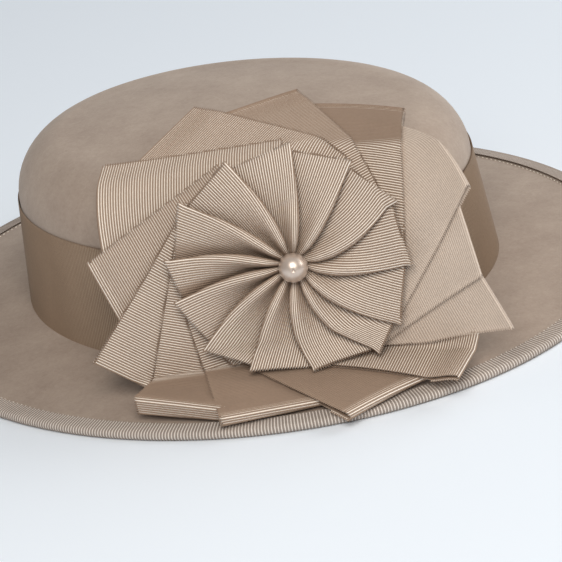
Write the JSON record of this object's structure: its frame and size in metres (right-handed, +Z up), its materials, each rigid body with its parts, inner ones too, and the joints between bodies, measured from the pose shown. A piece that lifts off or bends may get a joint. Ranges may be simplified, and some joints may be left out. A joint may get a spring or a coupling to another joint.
{
  "type": "boater hat",
  "caption": "Felt boater hat: low oval crown, wide bound brim, ribbed ribbon band and a ribbon pinwheel cockade with a pearl; rests on its brim, hollow for a head.",
  "frame": {"origin": "centre of the brim's oval on the surface that the brim's binding rests on", "axes": "+X to the wearer's front along the long axis, +Y to the wearer's left, +Z up; the cockade is on the wearer's right, towards the front"},
  "size_m": [0.3078, 0.2688, 0.0959],
  "materials": {
    "felt": "matt wool felt, taupe, with a fine nap",
    "band_ribbon": "ribbed grosgrain ribbon, low sheen",
    "binding_ribbon": "ribbed grosgrain ribbon folded over the edge",
    "cockade_ribbon": "ribbed grosgrain ribbon, light cream ribs and brown grooves",
    "pearl": "pinkish cream pearl lustre"
  },
  "bodies": {
    "root": {"crown": "felt", "brim": "felt", "brim_binding": "binding_ribbon", "hat_band": "band_ribbon", "loop_01": "cockade_ribbon", "loop_02": "cockade_ribbon", "loop_03": "cockade_ribbon", "loop_04": "cockade_ribbon", "loop_05": "cockade_ribbon", "loop_06": "cockade_ribbon", "loop_07": "cockade_ribbon", "loop_08": "cockade_ribbon", "loop_09": "cockade_ribbon", "loop_10": "cockade_ribbon", "loop_11": "cockade_ribbon", "loop_12": "cockade_ribbon", "loop_13": "cockade_ribbon", "rosette": "cockade_ribbon", "pearl": "pearl"}
  },
  "joints": []
}
